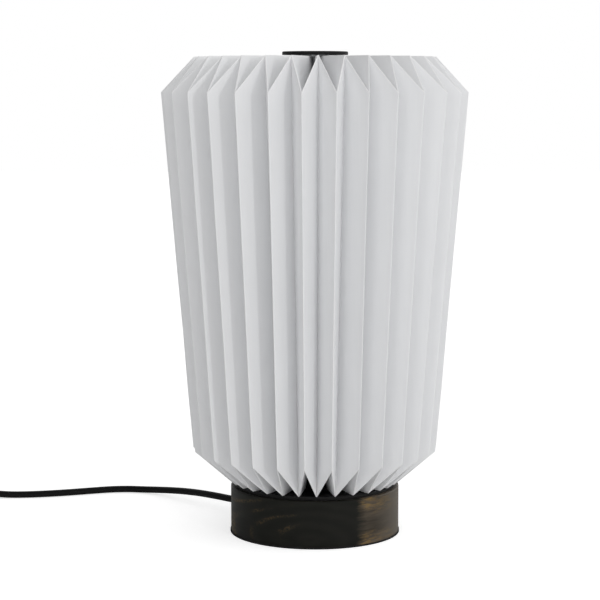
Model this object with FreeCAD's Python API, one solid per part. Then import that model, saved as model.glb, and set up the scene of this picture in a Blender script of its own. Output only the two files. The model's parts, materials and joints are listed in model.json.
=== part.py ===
"""A pleated paper table lamp: a folded paper shade on a turned wooden base.

Millimetres, +Z up.  The origin is the centre of the base's underside.  The front is -Y.
"""
import FreeCAD, Part
import math
import os

V = FreeCAD.Vector
UP = V(0, 0, 1)
ORIGIN = V(0, 0, 0)

# ---------------------------------------------------------------- driving dimensions
# paper shade: sizes of the middle of the paper
pleats = 30
pleat_turn = -4.9               # degrees that the front ridge is turned from straight ahead
paper = 0.5
fold_relief = 0.4               # what a fold's rounded edge is wider than the paper
fold_space = 0.35               # free width beside each fold at the eye of the shade
panel_width = 28.5              # from a ridge fold to a valley fold, the same all the way up
shoulder_radius = 113.0         # ridge folds at the upper bend
shoulder_height = 330.2
skirt_radius = 91.6             # ridge folds at the lower bend
skirt_height = 63.4
crown_rise = 25.0               # from the ridges' upper bend up to the valleys' upper bend
crown_clearance = 2.3           # from the valleys' upper bend up to the cap
foot_drop = 24.5                # from the ridges' lower bend down to the valleys' lower bend
mouth_radius = 38.0             # inner edge of the folded bottom
seat_gap = 0.3                  # between the paper and what it rests on or hangs from

# cap and clamp that hold the eye of the shade
cap_radius = 24.4
cap_thickness = 2.5
cap_rounding = 0.8
stud_radius = 3.0
stud_tail = 10.5                # stud below the clamp plate's underside
clamp_thickness = 2.0
spacer_play = 0.6               # between the paper's eye and the spacer tube
hub_nut_width = 10.0
hub_nut_height = 5.0
thread_play = 0.05              # radial, between a screw thread and its nut

# wooden base
wood_radius = 63.4
base_height = 35.7
wood_rounding = 1.0
pad_thickness = 1.2
pad_lip = 0.6                   # what the pad stands out beyond the wood
pad_width = 14.0
cavity_radius = 34.0
web_thickness = 6.2             # wood left above the cavity
cover_gap = 2.0                 # between the cover and the pad's inner edge
cover_thickness = 2.5
cover_inset = 0.4               # what the cover lies above the wood's underside
cover_play = 0.3
cover_screw_inset = 6.0         # from the cover's edge to its screws
cover_screws_count = 3
screw_play = 0.05
screw_point = 1.5               # length of a screw's point, in shank radii
slot_reach = 0.7                # half the length of the cross slot, in head radii
slot_breadth = 0.25             # width of the cross slot, in head radii
cover_screw_radius = 1.5
cover_screw_length = 13.0
cover_screw_head = 3.0

# black disc that the shade stands on
carrier_inset = 2.9             # from the wood's side to the disc's edge
carrier_thickness = 2.3
collar_height = 12.0            # collar that centres the shade, above the disc
collar_wall = 2.2
collar_play = 0.8

# threaded tube through the base
nipple_radius = 5.0
nipple_bore = 4.0
nipple_tail = 1.0               # tube below its nut
nipple_reach = 8.0              # tube above the carrier disc
hole_play = 0.2
washer_radius = 11.0
washer_thickness = 1.0
lock_nut_width = 14.0
lock_nut_height = 3.0

# mains cord
cord_radius = 2.7
cord_height = 10.0              # axis of the cord where it goes through the wood
cord_azimuth = 137.5            # degrees from +X towards +Y: the side that the cord leaves by
cord_bend = 14.0                # radius of the turn up into the threaded tube
cord_play = 0.05
first_run = 9.0                 # straight out of the bushing
jacket_end = 43.0               # height where the outer jacket stops
lead_radius = 1.1
lead_spacing = 2.6
lead_spread_from = 0.3          # part of the rise after which the leads spread
lead_spread_to = 0.7
floor_gap = 0.05                # between the lying cord and the floor
arc_share = 0.45                # of the shorter run that each corner's arc takes

# rubber bushing round the cord, and the bar that grips the cord
bushing_radius = 5.0            # in the wood
bushing_play = 0.1
bushing_depth = 11.0            # length in the wood
bushing_flange = 6.4
bushing_flange_thickness = 1.6
bushing_length = 21.0           # outside the wood
bushing_tip_radius = 3.7
bushing_rings = 5
bushing_groove = 0.5            # depth of the grooves between the rings
bushing_ring_share = 0.6        # part of the pitch that a ring takes
bar_length = 22.0
bar_width = 8.0
bar_thickness = 2.2
bar_play = 0.5
bar_screw_spacing = 15.0
bar_screw_radius = 1.2
bar_screw_head = 2.3
bar_screw_length = 11.0

# lampholder for a 27 mm screw cap
holder_foot_radius = 13.0
holder_radius = 19.0
holder_wall = 1.8
holder_floor = 3.0
holder_curve_height = 12.0
holder_boss_wall = 3.0
holder_cap_height = 25.0
shell_overlap = 4.0
shell_play = 0.1
shell_wall = 1.6
shell_length = 36.0
shell_mouth_radius = 15.2
shell_lip = 1.6
shell_ledge = 1.4                # inward step that holds the ceramic down
insert_flange = 2.5
insert_body_radius = 14.2
insert_drop = 4.0               # ceramic below its flange
insert_rise = 5.5               # ceramic above its flange
sleeve_bore = 13.5
sleeve_wall = 0.45
sleeve_length = 22.0
sleeve_groove = 0.6             # depth of the rolled thread
terminal_size = 5.0
terminal_offset = 8.0
terminal_screw_radius = 1.5
terminal_screw_depth = 3.5
terminal_head_ratio = 1.5       # head's radius in shank radii
terminal_head_height = 1.2
terminal_slot = 0.6             # width and depth of the slot in the head
contact_width = 5.0
contact_thickness = 0.6
contact_rise = 2.6
contact_half_length = 6.0
contact_heel = 4.2              # where the strip starts to rise, from its middle
contact_crown = 2.0             # half the length of the raised middle

# lamp bulb with a 27 mm screw cap
bulb_cap_radius = 13.05
bulb_root_radius = 12.2
bulb_cap_length = 23.0
bulb_thread_pitch = 3.6
bulb_thread_turns = 5
thread_flank = 0.35             # part of the pitch that each flank of the thread takes
bulb_cap_wall = 0.5
bulb_cap_edge = 1.0             # chamfer at the cap's lower end
bulb_contact_radius = 4.6
bulb_contact_height = 1.2
bulb_insulator_height = 2.6
bulb_insulator_foot = 0.6       # what the insulator stands out beyond the contact
bulb_insulator_step = 1.4       # inside the cap's root
bulb_globe_radius = 30.0
bulb_length = 101.0
bulb_collar_top_radius = 27.5
bulb_collar_step = 0.8          # what the collar's foot stands out beyond the cap's root
bulb_collar_bow = 1.6           # how far the collar's side swells, out and down
bulb_spigot_share = 0.6         # part of the cap's length that the collar's spigot fills
bulb_globe_wall = 1.2
bulb_board_thickness = 1.6
contact_gap = 0.3

# switch on the cord
switch_length = 66.0
switch_width = 27.0
switch_lower = 9.0              # height of the lower half
switch_upper = 9.5              # height of the upper half
switch_corner = 9.0
switch_edge = 2.0
switch_wall = 1.8
switch_cord_entry = 7.0         # length of cord inside each end
switch_notch_play = 0.1
switch_end_x = -295.0           # end that the cord from the lamp enters
switch_y = 108.0
rocker_length = 20.0
rocker_width = 11.0
rocker_play = 0.4
rocker_rise = 2.6
rocker_drop = 4.5
rocker_axle_radius = 1.5
rocker_axle_reach = 1.4
rocker_boss_wall = 1.6
rocker_dish = 0.3               # height of the dished middle, in rises
rocker_crest = 0.6              # height of its ends, in rises
switch_screw_radius = 1.4
switch_screw_head = 2.7
switch_screw_inset = 9.0
switch_post_radius = 3.2
switch_post_sink = 0.64         # how far each post stands in the wall
switch_contact_offset = 12.0    # from the rocker's axle to each brass block

# two-pin plug
plug_width = 35.3
plug_height = 13.7
plug_body_length = 30.0
plug_tail_length = 26.0
plug_tail_radius = 3.9
plug_shoulder_radius = 6.0
plug_pin_radius = 2.0
plug_sleeve_radius = 1.9
plug_core_radius = 1.4
plug_pin_length = 19.0
plug_sleeve_length = 10.0
plug_pin_spacing = 18.6
plug_pin_root = 6.0             # depth of the pins in the body
plug_sleeve_root = 1.0          # depth of their sleeves in the body
plug_pin_rounding = 0.8
plug_face_share = 0.4           # part of the body's length that has the full width
plug_corner = 2.3               # rounding of the upright edges
plug_edge = 1.7                 # rounding of the level edges

# coil of spare cord
coil_centre = V(-421.0, 72.6, 0)
coil_mid_radius = 30.0
coil_rows = 3
tie_width = 6.0
tie_thickness = 0.6
tie_play = 0.1                  # above and below the coil
tie_side_play = 0.3
tie_azimuth = 200.0             # degrees from +X towards +Y, about the coil's centre
tie_head = 4.0
tie_head_height = 2.0
tie_head_margin = 0.5           # what the catch stands out beyond the band on each side

# ---------------------------------------------------------------- sizes that follow
fold_flat = paper + fold_relief
crown_height = shoulder_height + crown_rise
cap_underside = crown_height + crown_clearance
overall_height = cap_underside + cap_thickness
foot_height = skirt_height - foot_drop
eye_radius = pleats * (fold_flat + fold_space) / math.pi
clamp_top = shoulder_height - paper - seat_gap
carrier_radius = wood_radius - carrier_inset
carrier_top = base_height + carrier_thickness
pad_radius = wood_radius + pad_lip
cover_radius = pad_radius - pad_width - cover_gap
cover_screw_circle = cover_radius - cover_screw_inset
bar_from_axis = (cavity_radius + cover_radius) / 2
cover_top = pad_thickness + cover_inset + cover_thickness
cavity_top = base_height - web_thickness
nipple_bottom = cavity_top - washer_thickness - lock_nut_height - nipple_tail
bar_top = cord_height - cord_radius - cord_play
bushing_tip = wood_radius + bushing_length
holder_rim = carrier_top + holder_cap_height
insert_top = holder_rim + insert_flange + insert_rise
bulb_bottom = insert_top + contact_rise + contact_gap
cord_floor = cord_radius + floor_gap
switch_top = switch_lower + switch_upper
switch_far_x = switch_end_x - switch_length
switch_mid_x = switch_end_x - switch_length / 2
rocker_axle_height = switch_top - rocker_axle_radius - switch_wall
switch_near_cord = switch_end_x - switch_cord_entry
switch_far_cord = switch_far_x + switch_cord_entry
plug_axis_height = plug_height / 2 + floor_gap
coil_lift = tie_thickness + tie_play
coil_floor = coil_lift + cord_radius
coil_half_width = 3 * cord_radius
coil_height = 2 * cord_radius * (1 + (coil_rows - 1) * math.sqrt(3) / 2)

# free stretches of the cord: each starts and ends at a piece that the cord goes into
cord_heading = V(math.cos(math.radians(cord_azimuth)), math.sin(math.radians(cord_azimuth)), 0)
cord_exit = cord_heading * bushing_tip + UP * cord_height
route_to_switch = [
    cord_exit,
    cord_exit + cord_heading * first_run,
    V(-80.0, 74.3, 9.7),
    V(-92.0, 86.6, 9.0),
    V(-105.0, 99.8, 7.6),
    V(-117.5, 112.2, 5.7),
    V(-129.0, 122.2, 3.9),
    V(-141.0, 128.8, cord_floor),
    V(-154.5, 131.2, cord_floor),
    V(-169.5, 129.4, cord_floor),
    V(-187.0, 122.8, cord_floor),
    V(-207.0, 115.2, cord_floor),
    V(-229.0, 109.4, cord_floor),
    V(-250.0, 107.4, cord_floor),
    V(-268.5, 107.6, 4.4),
    V(-285.5, switch_y, switch_lower),
    V(switch_near_cord, switch_y, switch_lower),
]
route_to_coil = [
    V(switch_far_cord, switch_y, switch_lower),
    V(-370.0, switch_y, switch_lower),
    V(-386.0, 107.8, 4.6),
    V(-404.0, 108.1, coil_floor),
    V(-421.0, 107.4, coil_floor),
]
route_to_plug = [
    V(-421.0, 42.6, 12.7),
    V(-407.5, 42.2, 11.6),
    V(-394.0, 43.0, plug_axis_height),
    V(-380.5, 43.0, plug_axis_height),
]


# ---------------------------------------------------------------- small helpers
def disc(radius, height, bottom):
    return Part.makeCylinder(radius, height, V(0, 0, bottom))


def ring(outer, inner, height, bottom):
    return disc(outer, height, bottom).cut(disc(inner, height, bottom))


def turned(profile):
    """A solid of revolution about Z from a closed outline of (radius, height) points."""
    points = [V(radius, 0, height) for radius, height in profile]
    outline = Part.makePolygon(points + points[:1])
    return Part.Face(outline).revolve(ORIGIN, UP, 360)


def turned_edges(edges):
    """A solid of revolution about Z from edges that close an outline in the XZ plane."""
    return Part.Face(Part.Wire(edges)).revolve(ORIGIN, UP, 360)


def line(first, last):
    return Part.LineSegment(V(first[0], 0, first[1]), V(last[0], 0, last[1])).toShape()


def arc(first, middle, last):
    return Part.Arc(V(first[0], 0, first[1]), V(middle[0], 0, middle[1]), V(last[0], 0, last[1])).toShape()


def hexagon(width, height, bottom):
    """A hexagonal prism about Z, width across its flats."""
    corner = width / math.sqrt(3)
    angles = [math.radians(60 * i) for i in range(7)]
    points = [V(corner * math.cos(a), corner * math.sin(a), bottom) for a in angles]
    return Part.Face(Part.makePolygon(points)).extrude(V(0, 0, height))


def nut(width, height, bore, bottom):
    """A hexagonal nut whose corners are turned off above and below."""
    blank = hexagon(width, height, bottom)
    corner = width / math.sqrt(3)
    slope = corner - width / 2
    envelope = turned([(0, bottom), (width / 2, bottom), (corner, bottom + slope),
                       (corner, bottom + height - slope), (width / 2, bottom + height), (0, bottom + height)])
    return blank.common(envelope).cut(disc(bore, height, bottom))


def wood_screw(radius, head, length, top_of_head):
    """A countersunk screw that points up, its flat head below, about the Z axis."""
    cone = head - radius
    point = radius * screw_point
    body = turned([(0, top_of_head), (head, top_of_head), (radius, top_of_head + cone),
                   (radius, top_of_head + length - point), (0, top_of_head + length)])
    half = head * slot_reach
    breadth = head * slot_breadth
    slot = Part.makeBox(2 * half, breadth, cone / 2, V(-half, -breadth / 2, top_of_head))
    cross = slot.copy()
    cross.rotate(ORIGIN, UP, 90)
    return body.cut(slot).cut(cross)


def screw_hole(radius, head, length, top_of_head):
    """What the same screw takes out of the pieces that it goes through."""
    cone = head - radius
    end = top_of_head + length + screw_play
    return turned([(0, top_of_head), (head + screw_play, top_of_head),
                   (radius + screw_play, top_of_head + cone), (radius + screw_play, end), (0, end)])


def placed(shape, x, y):
    moved = shape.copy()
    moved.translate(V(x, y, 0))
    return moved


def round_copies(shape, radius, angles):
    """Copies of a shape from the Z axis, moved out to a radius at each angle."""
    return [placed(shape, radius * math.cos(math.radians(a)), radius * math.sin(math.radians(a)))
            for a in angles]


def to_cord_side(shape):
    """Turns what is drawn along +X round to the side that the cord leaves by."""
    moved = shape.copy()
    moved.rotate(ORIGIN, UP, cord_azimuth)
    return moved


def cut_all(shape, tools):
    for tool in tools:
        shape = shape.cut(tool)
    return shape


def soft_path(points):
    """Straight runs joined by tangent arcs, as large as the two runs at a corner allow."""
    edges = []
    start = points[0]
    radii = []
    for before, corner, after in zip(points, points[1:], points[2:]):
        incoming = corner - before
        outgoing = after - corner
        reach = arc_share * min(incoming.Length, outgoing.Length)
        turn = incoming.getAngle(outgoing)
        radii.append(reach / math.tan(turn / 2))
        incoming.normalize()
        outgoing.normalize()
        arc_start = corner - incoming * reach
        arc_end = corner + outgoing * reach
        inward = outgoing - incoming
        inward.normalize()
        arc_middle = corner + inward * (radii[-1] / math.cos(turn / 2) - radii[-1])
        edges.append(Part.LineSegment(start, arc_start).toShape())
        edges.append(Part.Arc(arc_start, arc_middle, arc_end).toShape())
        start = arc_end
    edges.append(Part.LineSegment(start, points[-1]).toShape())
    return Part.Wire(edges), radii


def tube_along(path, radius):
    """A round solid along a path of lines and tangent arcs."""
    first = path.Edges[0]
    direction = first.tangentAt(first.FirstParameter)
    section = Part.Wire(Part.makeCircle(radius, path.Vertexes[0].Point, direction))
    sweep = Part.BRepOffsetAPI.MakePipeShell(path)
    sweep.add(section)
    sweep.build()
    sweep.makeSolid()
    return sweep.shape()


def cord_tube(name, points, radius=cord_radius):
    path, radii = soft_path(points)
    tube = tube_along(path, radius)
    expected = math.pi * radius ** 2 * path.Length
    print("%s: length %.1f mm, arc radii %s, volume / section x length %.4f"
          % (name, path.Length, [round(r, 1) for r in radii], tube.Volume / expected))
    return tube


# ---------------------------------------------------------------- the folded shade
def valley_radius(ridge_radius):
    """Radius of the valley folds where the ridges stand at ridge_radius, from the panel's width."""
    half_pitch = math.pi / pleats
    chord = ridge_radius * math.sin(half_pitch)
    return ridge_radius * math.cos(half_pitch) - math.sqrt(panel_width ** 2 - chord ** 2)


def valley_at(height):
    """Radius of the valley folds at a height, along their straight line up the shade."""
    low = valley_radius(skirt_radius)
    high = valley_radius(shoulder_radius)
    return low + (high - low) * (height - skirt_height) / (shoulder_height - skirt_height)


# where the strip bends, from its lower inner edge to its upper one: a ridge point and a valley point
shade_bends = [
    ((mouth_radius, skirt_height), (mouth_radius, foot_height)),
    ((skirt_radius, skirt_height), (valley_at(foot_height), foot_height)),
    ((shoulder_radius, shoulder_height), (valley_at(crown_height), crown_height)),
    ((eye_radius, shoulder_height), (eye_radius, cap_underside - paper - seat_gap)),
]


def fold_point(bend, column):
    """A corner of the paper's middle.  Columns 0 and 1 are the sides of a ridge fold, 2 and 3 of a valley."""
    pleat, side = divmod(column, 4)
    kind = side // 2
    radius, height = shade_bends[bend][kind]
    angle = math.radians(pleat_turn - 90 + (pleat + kind / 2) * 360 / pleats)
    outward = V(math.cos(angle), math.sin(angle), 0)
    along = V(-math.sin(angle), math.cos(angle), 0)
    across = fold_flat / 2 if side % 2 else -fold_flat / 2
    return outward * radius + along * across + UP * height


def panel_normal(bend, column):
    """Unit outward normal of the face from this corner to the next column and bend, and the face's width."""
    rising = fold_point(bend + 1, column + 1) - fold_point(bend, column)
    falling = fold_point(bend + 1, column) - fold_point(bend, column + 1)
    width = (fold_point(bend, column + 1) - fold_point(bend, column)).Length
    return rising.cross(falling).normalize(), width


def corner_offset(bend, column):
    """How far a corner moves when all the faces round it move out by one: a best fit, wide faces first."""
    normals = [panel_normal(b, c) for b in (bend - 1, bend) for c in (column - 1, column)
               if 0 <= b < len(shade_bends) - 1]
    total = V(0, 0, 0)
    sums = [[1e-6 if row == col else 0.0 for col in range(3)] for row in range(3)]
    for unit, weight in normals:
        total = total + unit * weight
        for row in range(3):
            for col in range(3):
                sums[row][col] += weight * unit[row] * unit[col]
    matrix = FreeCAD.Matrix(sums[0][0], sums[0][1], sums[0][2], 0, sums[1][0], sums[1][1], sums[1][2], 0,
                            sums[2][0], sums[2][1], sums[2][2], 0, 0, 0, 0, 1)
    return matrix.inverse().multVec(total)


def facets(a, b, c, d):
    """The four-cornered piece a-b-c-d as two flat faces, because the folded paper twists a little."""
    return [Part.Face(Part.makePolygon([a, b, c, a])), Part.Face(Part.makePolygon([a, c, d, a]))]


def pleated_shade():
    """One pleat, made of two panels and two rounded folds, is repeated round the axis and sewn shut."""
    columns = range(5)
    last_bend = len(shade_bends) - 1
    sides = {}
    for side in (1, -1):
        sides[side] = [[fold_point(b, c) + corner_offset(b, c) * (side * paper / 2) for c in columns]
                       for b in range(last_bend + 1)]
    faces = []
    for c in range(4):
        for grid in sides.values():
            for b in range(last_bend):
                faces += facets(grid[b][c], grid[b + 1][c], grid[b + 1][c + 1], grid[b][c + 1])
        for b in (0, last_bend):
            faces += facets(sides[1][b][c], sides[-1][b][c], sides[-1][b][c + 1], sides[1][b][c + 1])
    all_faces = []
    for pleat in range(pleats):
        for face in faces:
            copy = face.copy()
            copy.rotate(ORIGIN, UP, pleat * 360 / pleats)
            all_faces.append(copy)
    sewn = Part.makeCompound(all_faces)
    sewn.sewShape()
    solid = Part.makeSolid(sewn.Shells[0])
    if solid.Volume < 0:
        solid.reverse()
    return solid


# ---------------------------------------------------------------- cap and clamp at the eye
def top_cap():
    cap = disc(cap_radius, cap_thickness, cap_underside)
    rim = [edge for edge in cap.Edges if abs(edge.BoundBox.ZMin - overall_height) < 0.01]
    cap = cap.makeFillet(cap_rounding, rim)
    stud_length = cap_underside - clamp_top + clamp_thickness + stud_tail
    return cap.fuse(disc(stud_radius, stud_length, cap_underside - stud_length)).removeSplitter()


def spacer_tube():
    return ring(eye_radius - fold_flat - spacer_play, stud_radius + hole_play,
                cap_underside - clamp_top, clamp_top)


def clamp_plate():
    return ring(cap_radius, stud_radius + hole_play, clamp_thickness, clamp_top - clamp_thickness)


def hub_nut():
    return nut(hub_nut_width, hub_nut_height, stud_radius + thread_play,
               clamp_top - clamp_thickness - hub_nut_height)


# ---------------------------------------------------------------- base
def screw_angles():
    """The cover's screws, spread evenly with the cord's side between two of them."""
    step = 360 / cover_screws_count
    return [cord_azimuth + step * (i + 0.5) for i in range(cover_screws_count)]


def cover_screw_set():
    screw = wood_screw(cover_screw_radius, cover_screw_head, cover_screw_length, cover_top - cover_thickness)
    return Part.makeCompound(round_copies(screw, cover_screw_circle, screw_angles()))


def cover_screw_holes():
    hole = screw_hole(cover_screw_radius, cover_screw_head, cover_screw_length, cover_top - cover_thickness)
    return round_copies(hole, cover_screw_circle, screw_angles())


def bottom_cover():
    plate = disc(cover_radius, cover_thickness, cover_top - cover_thickness)
    return cut_all(plate, cover_screw_holes())


def base_pad():
    return ring(pad_radius, pad_radius - pad_width, pad_thickness, 0)


def bar_screws():
    screw = wood_screw(bar_screw_radius, bar_screw_head, bar_screw_length, bar_top - bar_thickness)
    return [placed(screw, bar_from_axis, side * bar_screw_spacing / 2) for side in (-1, 1)]


def bar_screw_holes():
    hole = screw_hole(bar_screw_radius, bar_screw_head, bar_screw_length, bar_top - bar_thickness)
    return [placed(hole, bar_from_axis, side * bar_screw_spacing / 2) for side in (-1, 1)]


def cord_bar():
    """A bar with rounded ends that presses the cord up into its channel."""
    radius = bar_width / 2
    straight = bar_length - bar_width
    bottom = bar_top - bar_thickness
    bar = Part.makeBox(bar_width, straight, bar_thickness, V(bar_from_axis - radius, -straight / 2, bottom))
    for side in (-1, 1):
        end = placed(disc(radius, bar_thickness, bottom), bar_from_axis, side * straight / 2)
        bar = bar.fuse(end)
    return to_cord_side(cut_all(bar.removeSplitter(), bar_screw_holes()))


def cord_bar_screws():
    return Part.makeCompound([to_cord_side(screw) for screw in bar_screws()])


def along_cord(radius, start, length):
    """A cylinder on the cord's axis, from a distance out from the lamp's axis."""
    return Part.makeCylinder(radius, length, V(start, 0, cord_height), V(1, 0, 0))


def wood_base():
    """A turned block: hollow below, with a shelf for the cover and a channel for the cord."""
    r = wood_rounding
    top = base_height
    outline = [
        line((0, pad_thickness), (wood_radius, pad_thickness)),
        line((wood_radius, pad_thickness), (wood_radius, top - r)),
        arc((wood_radius, top - r),
            (wood_radius - r + r * math.cos(math.pi / 4), top - r + r * math.sin(math.pi / 4)),
            (wood_radius - r, top)),
        line((wood_radius - r, top), (0, top)),
        line((0, top), (0, pad_thickness)),
    ]
    block = turned_edges(outline)
    shelf = disc(cover_radius + cover_play, cover_top - pad_thickness, pad_thickness)
    cavity = disc(cavity_radius, cavity_top - cover_top, cover_top)
    centre = disc(nipple_radius + hole_play, web_thickness, cavity_top)
    channel = along_cord(cord_radius + hole_play, 0, wood_radius)
    socket = along_cord(bushing_radius + bushing_play, wood_radius - bushing_depth, bushing_depth)
    pocket = Part.makeBox(bar_width + 2 * bar_play, bar_length + 2 * bar_play, bar_top - cover_top,
                          V(bar_from_axis - bar_width / 2 - bar_play, -bar_length / 2 - bar_play, cover_top))
    tools = [shelf, cavity, centre, to_cord_side(channel), to_cord_side(socket), to_cord_side(pocket)]
    tools += [to_cord_side(hole) for hole in bar_screw_holes()]
    tools += cover_screw_holes()
    return cut_all(block, tools)


def carrier_disc():
    """The black disc that the shade stands on, with a collar that centres the shade's mouth."""
    outer = mouth_radius - fold_flat - collar_play
    inner = outer - collar_wall
    top = carrier_top + collar_height
    profile = [(nipple_radius + hole_play, base_height), (carrier_radius, base_height),
               (carrier_radius, carrier_top), (outer, carrier_top), (outer, top),
               (inner, top), (inner, carrier_top), (nipple_radius + hole_play, carrier_top)]
    return turned(profile)


def threaded_tube():
    return ring(nipple_radius, nipple_bore, carrier_top + nipple_reach - nipple_bottom, nipple_bottom)


def lock_washer():
    return ring(washer_radius, nipple_radius + hole_play, washer_thickness, cavity_top - washer_thickness)


def lock_nut():
    return nut(lock_nut_width, lock_nut_height, nipple_radius + thread_play,
               cavity_top - washer_thickness - lock_nut_height)


def cord_bushing():
    """A rubber sleeve round the cord, tapered outside the wood and ringed so that it bends."""
    start = wood_radius - bushing_depth
    flange_end = wood_radius + bushing_flange_thickness
    ring_pitch = (bushing_tip - flange_end) / (bushing_rings + 0.5)
    outline = [(0, start), (bushing_radius, start), (bushing_radius, wood_radius),
               (bushing_flange, wood_radius), (bushing_flange, flange_end)]
    for i in range(bushing_rings):
        near = flange_end + i * ring_pitch
        far = near + ring_pitch * bushing_ring_share
        radius = bushing_radius - (bushing_radius - bushing_tip_radius) * i / bushing_rings
        groove = radius - bushing_groove
        outline += [(radius, near), (radius, far), (groove, far), (groove, near + ring_pitch)]
    outline += [(bushing_tip_radius, bushing_tip - ring_pitch / 2), (bushing_tip_radius, bushing_tip),
                (0, bushing_tip)]
    body = turned(outline)
    bore = disc(cord_radius + cord_play, bushing_tip - start, start)
    body = body.cut(bore)
    body.rotate(ORIGIN, V(0, 1, 0), 90)
    body.translate(V(0, 0, cord_height))
    return to_cord_side(body)


def inner_cord():
    """The cord inside: straight in through the bushing, then up through the threaded tube."""
    bend = cord_bend
    corner = cord_bend * (1 - math.cos(math.pi / 4))
    edges = [
        Part.LineSegment(V(bushing_tip, 0, cord_height), V(bend, 0, cord_height)).toShape(),
        Part.Arc(V(bend, 0, cord_height), V(corner, 0, cord_height + corner),
                 V(0, 0, cord_height + bend)).toShape(),
        Part.LineSegment(V(0, 0, cord_height + bend), V(0, 0, jacket_end)).toShape(),
    ]
    return to_cord_side(tube_along(Part.Wire(edges), cord_radius))


def lead(side):
    """One insulated lead from the end of the jacket to its terminal."""
    near = side * lead_spacing / 2
    far = side * terminal_offset
    top = holder_rim - insert_drop - terminal_size
    rise = top - jacket_end
    points = [V(near, 0, jacket_end), V(near, 0, jacket_end + rise * lead_spread_from),
              V(far, 0, jacket_end + rise * lead_spread_to), V(far, 0, top)]
    path, _ = soft_path(points)
    return tube_along(path, lead_radius)


# ---------------------------------------------------------------- lampholder
def holder_cap():
    """The domed lower half of the lampholder, with a threaded boss on the tube through the base."""
    side = holder_radius - holder_foot_radius
    bow = (side ** 2 + holder_curve_height ** 2) / (2 * side)
    centre_r = holder_radius - bow
    centre_z = carrier_top + holder_curve_height
    inner_bow = bow - holder_wall
    bore = nipple_radius + thread_play
    boss = bore + holder_boss_wall
    floor_top = carrier_top + holder_floor

    def on_arc(radius, height):
        return (centre_r + math.sqrt(radius ** 2 - (centre_z - height) ** 2), height)

    def half_way(radius, height):
        half = math.asin((centre_z - height) / radius) / 2
        return (centre_r + radius * math.cos(half), centre_z - radius * math.sin(half))

    outer_foot = (holder_foot_radius, carrier_top)
    outer_side = (holder_radius, centre_z)
    inner_foot = on_arc(inner_bow, floor_top)
    inner_side = (holder_radius - holder_wall, centre_z)
    boss_top = carrier_top + nipple_reach
    return turned_edges([
        line((bore, carrier_top), outer_foot),
        arc(outer_foot, half_way(bow, carrier_top), outer_side),
        line(outer_side, (holder_radius, holder_rim)),
        line((holder_radius, holder_rim), (holder_radius - holder_wall, holder_rim)),
        line((holder_radius - holder_wall, holder_rim), inner_side),
        arc(inner_side, half_way(inner_bow, floor_top), inner_foot),
        line(inner_foot, (boss, floor_top)),
        line((boss, floor_top), (boss, boss_top)),
        line((boss, boss_top), (bore, boss_top)),
        line((bore, boss_top), (bore, carrier_top)),
    ])


def holder_shell():
    """The upper half: a sleeve over the cap's rim, a step that holds the ceramic, and a lip at the mouth."""
    inner = holder_radius + shell_play
    outer = inner + shell_wall
    bottom = holder_rim - shell_overlap
    top = bottom + shell_length
    ledge = holder_rim + insert_flange + shell_play
    bore = inner - shell_ledge
    return turned([(inner, bottom), (outer, bottom), (outer, top - shell_lip), (outer - shell_lip, top),
                   (shell_mouth_radius, top), (shell_mouth_radius, top - shell_lip),
                   (bore, top - 2 * shell_lip), (bore, ledge), (inner, ledge)])


def ceramic_insert():
    flange_radius = holder_radius - shell_play
    bottom = holder_rim - insert_drop
    flange_top = holder_rim + insert_flange
    return turned([(0, bottom), (insert_body_radius, bottom), (insert_body_radius, holder_rim),
                   (flange_radius, holder_rim), (flange_radius, flange_top), (insert_body_radius, flange_top),
                   (insert_body_radius, insert_top), (0, insert_top)])


def thread_steps(bottom, turns, root, crest):
    """Outline points, going up, of a rolled thread drawn as rings."""
    points = []
    for i in range(turns):
        low = bottom + i * bulb_thread_pitch
        points += [(root, low), (crest, low + bulb_thread_pitch * thread_flank),
                   (crest, low + bulb_thread_pitch * (1 - thread_flank))]
    points.append((root, bottom + turns * bulb_thread_pitch))
    return points


def screw_sleeve():
    """The brass sleeve that the bulb screws into, its thread rolled outwards."""
    plain = (sleeve_length - bulb_thread_turns * bulb_thread_pitch) / 2
    top = insert_top + sleeve_length
    inner = thread_steps(insert_top + plain, bulb_thread_turns, sleeve_bore, sleeve_bore + sleeve_groove)
    inner = [(sleeve_bore, insert_top)] + inner + [(sleeve_bore, top)]
    outer = [(radius + sleeve_wall, height) for radius, height in reversed(inner)]
    return turned(inner + outer)


def centre_contact():
    """A sprung brass strip that meets the tip of the bulb."""
    t = contact_thickness
    foot = contact_half_length
    heel = contact_heel
    crown = contact_crown
    low = insert_top
    high = insert_top + contact_rise
    inside = crown - t / 2
    outline = [(-foot, low), (-foot, low + t), (-heel, low + t), (-crown, high), (crown, high),
               (heel, low + t), (foot, low + t), (foot, low), (heel - t, low),
               (inside, high - t), (-inside, high - t), (t - heel, low)]
    points = [V(x, -contact_width / 2, z) for x, z in outline]
    strip = Part.Face(Part.makePolygon(points + points[:1]))
    return strip.extrude(V(0, contact_width, 0))


def terminal_bottom():
    return holder_rim - insert_drop - terminal_size


def terminal_screw_at(side, radius):
    """A cylinder along a terminal's screw, in from its outer face."""
    start = V(side * terminal_offset, -terminal_size / 2, terminal_bottom() + terminal_size / 2)
    return Part.makeCylinder(radius, terminal_screw_depth, start, V(0, 1, 0))


def terminals():
    blocks = []
    for side in (-1, 1):
        corner = V(side * terminal_offset - terminal_size / 2, -terminal_size / 2, terminal_bottom())
        block = Part.makeBox(terminal_size, terminal_size, terminal_size, corner)
        blocks.append(block.cut(terminal_screw_at(side, terminal_screw_radius + screw_play)))
    return Part.makeCompound(blocks)


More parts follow.
